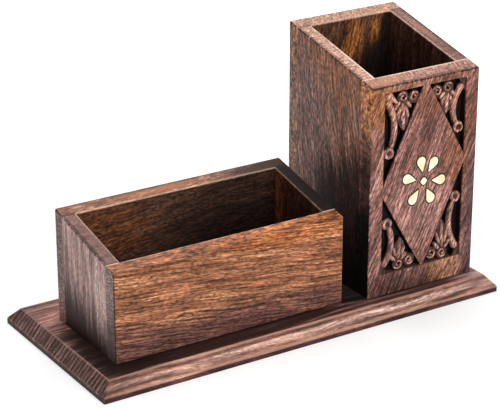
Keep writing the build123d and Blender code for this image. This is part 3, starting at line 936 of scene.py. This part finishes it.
def arc_through(first, middle, last, count):
    """Points along the round arc through three points."""
    a, b, c = Vector(first), Vector(middle), Vector(last)
    ab, ac = b - a, c - a
    cross = 2 * (ab.x * ac.y - ab.y * ac.x)
    centre = a + Vector((
        (ac.y * ab.length_squared - ab.y * ac.length_squared) / cross,
        (ab.x * ac.length_squared - ac.x * ab.length_squared) / cross,
    ))
    start = math.atan2(a.y - centre.y, a.x - centre.x)
    halfway = math.atan2(b.y - centre.y, b.x - centre.x)
    end = math.atan2(c.y - centre.y, c.x - centre.x)
    sweep = (end - start) % math.tau
    if (halfway - start) % math.tau > sweep:
        sweep -= math.tau
    radius = (a - centre).length
    angles = [start + sweep * k / (count - 1) for k in range(count)]
    return [(centre.x + radius * math.cos(w), centre.y + radius * math.sin(w)) for w in angles]


# %% Bowed stems
STEM_WIDTHS = (4.2, 4.1, 4.0, 3.9, 3.8, 3.7, 3.6, 3.5, 3.4, 3.3, 3.2, 3.1, 3.0)
BUD_ACROSS, BUD_SHARE = 3.3, 0.61
bud_places = {
    name: from_corner(corner, BUD_ACROSS, BUD_SHARE * corner[4]) for name, corner in corners.items()
}
for name, corner in corners.items():
    bow = from_corner(corner, 6.2, 0.36 * corner[4])
    route = arc_through(from_corner(corner, 1.2, 3.4), bow, bud_places[name], len(STEM_WIDTHS) + 1)
    piece = open_piece("scroll_stem_" + name)
    ridge(route[:-1], STEM_WIDTHS)
    close_piece(piece, carved_pieces)
print("stems:", len(carved_pieces))

# %% [markdown]
# Each stem ends in a bud, cut round with a ring punched into its top. It could be turned as a lathe
# profile, but a circle extruded step by step follows the carver's cuts. One bud is made with care,
# and the other three are its copies.

# %% Ringed buds
BUD_FOOT = 2.85
BUD_STEPS = ((2.85, 1.3), (2.6, 0.55), (2.0, 0.2), (1.4, 0.45), (1.05, 1.4), (0.5, 1.6))
first_bud = open_piece("scroll_bud_lower_left")
boss(*bud_places["lower_left"], BUD_STEPS, BUD_FOOT)
close_piece(first_bud, carved_pieces)
for name in ("lower_right", "upper_left", "upper_right"):
    copy_piece(
        first_bud, "scroll_bud_" + name, carved_pieces, bud_places["lower_left"], bud_places[name],
    )
print("with buds:", len(carved_pieces))

# %% [markdown]
# A curl is a ridge that winds in to its centre. The outer curls wind the other way from the inner
# ones, and the upper corners mirror the lower ones, so all the others are mirrored copies of the
# first.

# %% Spiral curls
CURL_TURNS = 1.3
CURL_POINTS = 18
CURL_START = math.radians(200)
CURL_START_RADIUS, CURL_END_RADIUS = 2.45, 0.5
CURL_WIDTH, CURL_END_WIDTH = 1.45, 1.1
CURL_PLACES = {"inner": (9.8, 3.4), "outer": (15.8, 4.2)}
first_place = from_corner(corners["lower_left"], *CURL_PLACES["inner"])
route, widths = [], []
for k in range(CURL_POINTS):
    share = k / (CURL_POINTS - 1)
    angle = CURL_START + share * CURL_TURNS * math.tau
    radius = CURL_START_RADIUS + share * (CURL_END_RADIUS - CURL_START_RADIUS)
    route.append(
        (first_place[0] + radius * math.cos(angle), first_place[1] + radius * math.sin(angle))
    )
    widths.append(CURL_WIDTH + share * (CURL_END_WIDTH - CURL_WIDTH))
first_curl = open_piece("scroll_curl_inner_lower_left")
ridge(route, widths)
close_piece(first_curl, carved_pieces)
for name, corner in corners.items():
    for which, place in CURL_PLACES.items():
        goal = from_corner(corner, *place)
        if goal != first_place:
            spin = 1 if which == "inner" else -1
            copy_piece(
                first_curl, "scroll_curl_" + which + "_" + name, carved_pieces, first_place, goal,
                corner[1] * spin, corner[3],
            )
print("with curls:", len(carved_pieces))

# %% [markdown]
# A leaf has a middle finger and two on each side, and each finger is a short ridge. The leaves differ
# in length with the room that the diamond leaves, so they are drawn anew from one table instead of
# copied.

# %% Fingered leaves
# Each finger is a route in the leaf's own measure: a share of its length, and mm to one side.
LEAF_FINGERS = (
    (((0.0, 0.0), (0.3, 0.0), (0.6, 0.0), (0.85, 0.0), (1.02, 0.0)), (2.6, 2.6, 2.9, 2.0, 0.7)),
    (((0.14, 0.9), (0.32, 1.9), (0.48, 2.6), (0.62, 2.7)), (1.9, 2.3, 2.2, 1.0)),
    (((0.0, 1.2), (0.10, 2.6), (0.20, 3.8), (0.30, 4.3)), (2.0, 2.5, 2.5, 1.2)),
)
for name, corner in corners.items():
    leg = corner[4]
    root, tip = from_corner(corner, 9.8, 5.0), from_corner(corner, 10.7, 0.41 * leg)
    piece = open_piece("scroll_leaf_" + name)
    for shares, widths in LEAF_FINGERS:
        for side in (-1, 1) if shares[0][1] or shares[1][1] else (1,):
            route = [
                (root[0] + share * (tip[0] - root[0]) + side * beside,
                 root[1] + share * (tip[1] - root[1]))
                for share, beside in shares
            ]
            ridge(route, widths)
    close_piece(piece, carved_pieces)
print("with leaves:", len(carved_pieces))

# %% [markdown]
# One corner kept a solid block with a pointed spur, where its neighbours are cut clear. It is one
# ridge that starts wide, stands a little higher than the scrolls, and runs out to a point.

# %% The spur in the upper left corner
SPUR_ROUTE = ((7.4, 94.0), (9.6, 92.4), (11.9, 90.5), (14.2, 88.5))
SPUR_WIDTHS = (7.5, 5.0, 2.8, 0.8)
SPUR_TOP = 0.05
piece = open_piece("scroll_spur_upper_left")
ridge(
    SPUR_ROUTE, SPUR_WIDTHS, (SPUR_TOP + GROUND_DEPTH + ROOTED) / 2,
    GROUND_DEPTH + ROOTED - SPUR_TOP,
)
close_piece(piece, carved_pieces)

# %% [markdown]
# The scrolls are cut from the panel, so they have its wood, with its seed, lay and stains. Their
# crests are painted pale, as a painted highlight, and their flanks are painted near black, as
# painted shade in the cuts, so the dark again lies by depth.

# %% The scrolls' wood
# A painted highlight on the scrolls' crests.
scroll_crest_highlight = patch((CUP_MIDDLE, -34.5, 60), (200, 1.1, 200), "cf9f8c", 0.75, 0.35, 0.6)
# Painted shade on the scrolls' flanks and in the cuts.
scroll_cut_shade = patch(
    (CUP_MIDDLE, -29.2, 60), (100, 3.4, 100), "0a0503", 0.94, 0.1, 0.0, square=True,
)
carved_wood = sheesham(
    "scrolls", PANEL_COLOURS, PANEL_LAY, (0.3, 1.0), seed=61.0,
    stains_and_shade=panel_stains_and_shade + (scroll_crest_highlight,), over=(scroll_cut_shade,), figure_mm=7.0,
)
for piece in carved_pieces:
    piece.data.materials.append(carved_wood)
print("carved pieces:", len(carved_pieces))

# %% [markdown]
# ## Brass inlay
# The flower is cut from thin brass sheet, let into pockets with dark filler round it, and filed
# flush with the wood. So it is pale and bright, with fine file strokes on a slant, and it is a
# little duller where lacquer and polish have gathered. An image of strokes would repeat, and a
# stretched noise doesn't. The strokes are drawn twice as coarse as real ones.

# %% Patterns for the small parts
CLOUD_SPAN = (0.35, 0.65)  # the noise levels of the two tones


def pattern(tree, width_mm, detail, stretch=(1, 1, 1), turn=0):
    """A noise through the whole piece, turned about Y in degrees and drawn out along an axis."""
    place = add_node(tree, "TexCoord", give="Object")
    drawn = add_node(
        tree, "Mapping", {"Vector": place, "Rotation": (0, math.radians(turn), 0), "Scale": stretch},
    )
    scale = 1 / (width_mm * MM)
    return add_node(tree, "TexNoise", {"Vector": drawn, "Scale": scale, "Detail": detail})


def two_tones(tree, shader, clouds, tones, raised, relief_mm, relief, dull, span=CLOUD_SPAN):
    """Two tones by one pattern, and relief and dullness by the same or another one.

    dull holds the pattern's low and high level, and the roughness at each of them.
    """
    share = add_node(tree, "MapRange", {"Value": clouds, "From Min": span[0], "From Max": span[1]})
    colour = add_node(
        tree, "Mix", {0: share, 6: linear(tones[0]), 7: linear(tones[1])}, give=2, data_type="RGBA",
    )
    tree.links.new(colour, shader.inputs["Base Color"])
    bump = add_node(
        tree, "Bump", {"Height": raised, "Distance": relief_mm * MM, "Strength": relief},
    )
    tree.links.new(bump, shader.inputs["Normal"])
    rough = add_node(
        tree, "MapRange",
        {"Value": raised, "From Min": dull[0], "From Max": dull[1], "To Min": dull[2],
         "To Max": dull[3]},
    )
    tree.links.new(rough, shader.inputs["Roughness"])


# %% Brass
STROKE_MM, STROKE_STRETCH, STROKE_TURN = 0.16, 14.0, 35
CLOUD_MM = 2.5
brass, tree, shader = new_material("filed_brass")
strokes = pattern(tree, STROKE_MM, 2.0, (1 / STROKE_STRETCH, 1, 1), STROKE_TURN)
clouds = pattern(tree, CLOUD_MM, 3.0)
two_tones(
    tree, shader, clouds, ("e9dcae", "faf3d6"), strokes, 0.01, 0.5,
    (NOISE_LOW, NOISE_HIGH, 0.28, 0.5), (0.4, 0.6),
)
shader.inputs["Metallic"].default_value = 1.0
finish_with(brass, *[name for name in nodes if name.startswith("inlay")])

# %% [markdown]
# ## Filler round the brass
# Each pocket is a little wider than its petal. The gap is filled with dark lac, a resin that shrinks
# to a low soft bead, so every petal has a dark outline. A bead is a ridge whose route closes on
# itself. One bead is run round the outline of a petal, and turned copies lie round the others.

# %% The petal's outline
FLOWER = (28.8, 50.1)
PETAL_TIP, PETAL_TIP_RADIUS = 4.75, 0.25
PETAL_MIDDLE, PETAL_RADIUS = 9.65, 2.35
PETAL_ANGLES = {
    "right": -7, "upper_right": 57, "upper_left": 100, "left": 163, "lower_left": 233,
    "lower_right": 295,
}
GAP_MIDDLE = 0.2  # mm, from the brass to the middle of the filled gap
BEAD_WIDTH, BEAD_THICK, BEAD_DEEP = 0.95, 0.4, 0.07
ROUND_POINTS = 10
flank = math.acos((PETAL_TIP_RADIUS - PETAL_RADIUS) / (PETAL_MIDDLE - PETAL_TIP))
outline = []
for k in range(ROUND_POINTS):
    angle = -flank + 2 * flank * k / (ROUND_POINTS - 1)
    radius = PETAL_RADIUS + GAP_MIDDLE
    outline.append((PETAL_MIDDLE + radius * math.cos(angle), radius * math.sin(angle)))
for angle in (flank, math.pi, -flank):
    radius = PETAL_TIP_RADIUS + GAP_MIDDLE
    outline.append((PETAL_TIP + radius * math.cos(angle), radius * math.sin(angle)))
outline += outline[:2]
print("points round a petal:", len(outline))

# %% The beads
CENTRE_CORNER = 2.2 + GAP_MIDDLE
DIAMOND = (
    (1, 0), (0.5, 0.5), (0, 1), (-0.5, 0.5), (-1, 0), (-0.5, -0.5), (0, -1), (0.5, -0.5), (1, 0),
    (0.5, 0.5),
)
filler_pieces = []


def bead(name, shape, size):
    """A bead of filler round an outline that is given from the flower's middle."""
    piece = open_piece(name)
    route = [(FLOWER[0] + x * size, FLOWER[1] + y * size) for x, y in shape]
    ridge(route, [BEAD_WIDTH] * len(route), BEAD_DEEP, BEAD_THICK)
    close_piece(piece, filler_pieces)


bead("filler_petal_right", outline, 1.0)
for name in PETAL_ANGLES:
    if name != "right":
        copy_piece(filler_pieces[0], "filler_petal_" + name, filler_pieces, FLOWER, FLOWER)
for piece, angle in zip(filler_pieces, PETAL_ANGLES.values()):
    edit_alone(piece)
    bpy.ops.transform.rotate(
        value=math.radians(angle), orient_axis="Y", orient_type="GLOBAL",
        center_override=on_panel(*FLOWER),
    )
    bpy.ops.object.mode_set(mode="OBJECT")
bead("filler_centre", DIAMOND, CENTRE_CORNER)
print("beads of filler:", len(filler_pieces))

# %% Dark lac
LAC_CLOUD_MM, LAC_IOR = 0.8, 1.52
lac, tree, shader = new_material("dark_lac")
clouds = pattern(tree, LAC_CLOUD_MM, 3.0)
two_tones(tree, shader, clouds, ("0e0705", "2b1710"), clouds, 0.03, 0.5, (0.0, 1.0, 0.4, 0.7))
shader.inputs["IOR"].default_value = LAC_IOR
shader.inputs["Specular IOR Level"].default_value = OIL_SHEEN
for piece in filler_pieces:
    piece.data.materials.append(lac)

# %% [markdown]
# ## Fittings
# The corner joints are pinned with split bamboo, pale and stringy, and the base is held by
# countersunk wood screws of zinc-plated steel, a soft grey with a faint spangle. Both are hardly
# seen: the pins stay inside the joints, and only the screws' heads show, under the base. So one
# pattern for each is enough.

# %% Bamboo
STRING_MM, STRING_STRETCH = 0.25, 18.0
bamboo, tree, shader = new_material("split_bamboo")
strings = pattern(tree, STRING_MM, 2.0, (1, 1 / STRING_STRETCH, 1))
two_tones(tree, shader, strings, ("9a7743", "d3b57f"), strings, 0.03, 0.6, (0.0, 1.0, 0.6, 0.6))
finish_with(bamboo, "tray_pins", "cup_pins")

# %% Zinc-plated steel
SPANGLE_MM = 0.6
steel, tree, shader = new_material("zinc_plated_steel")
spangle = pattern(tree, SPANGLE_MM, 4.0)
two_tones(
    tree, shader, spangle, ("98948a", "c4c1b6"), spangle, 0.02, 0.4, (*CLOUD_SPAN, 0.3, 0.5),
)
shader.inputs["Metallic"].default_value = 1.0
finish_with(steel, "tray_screws", "cup_screws")
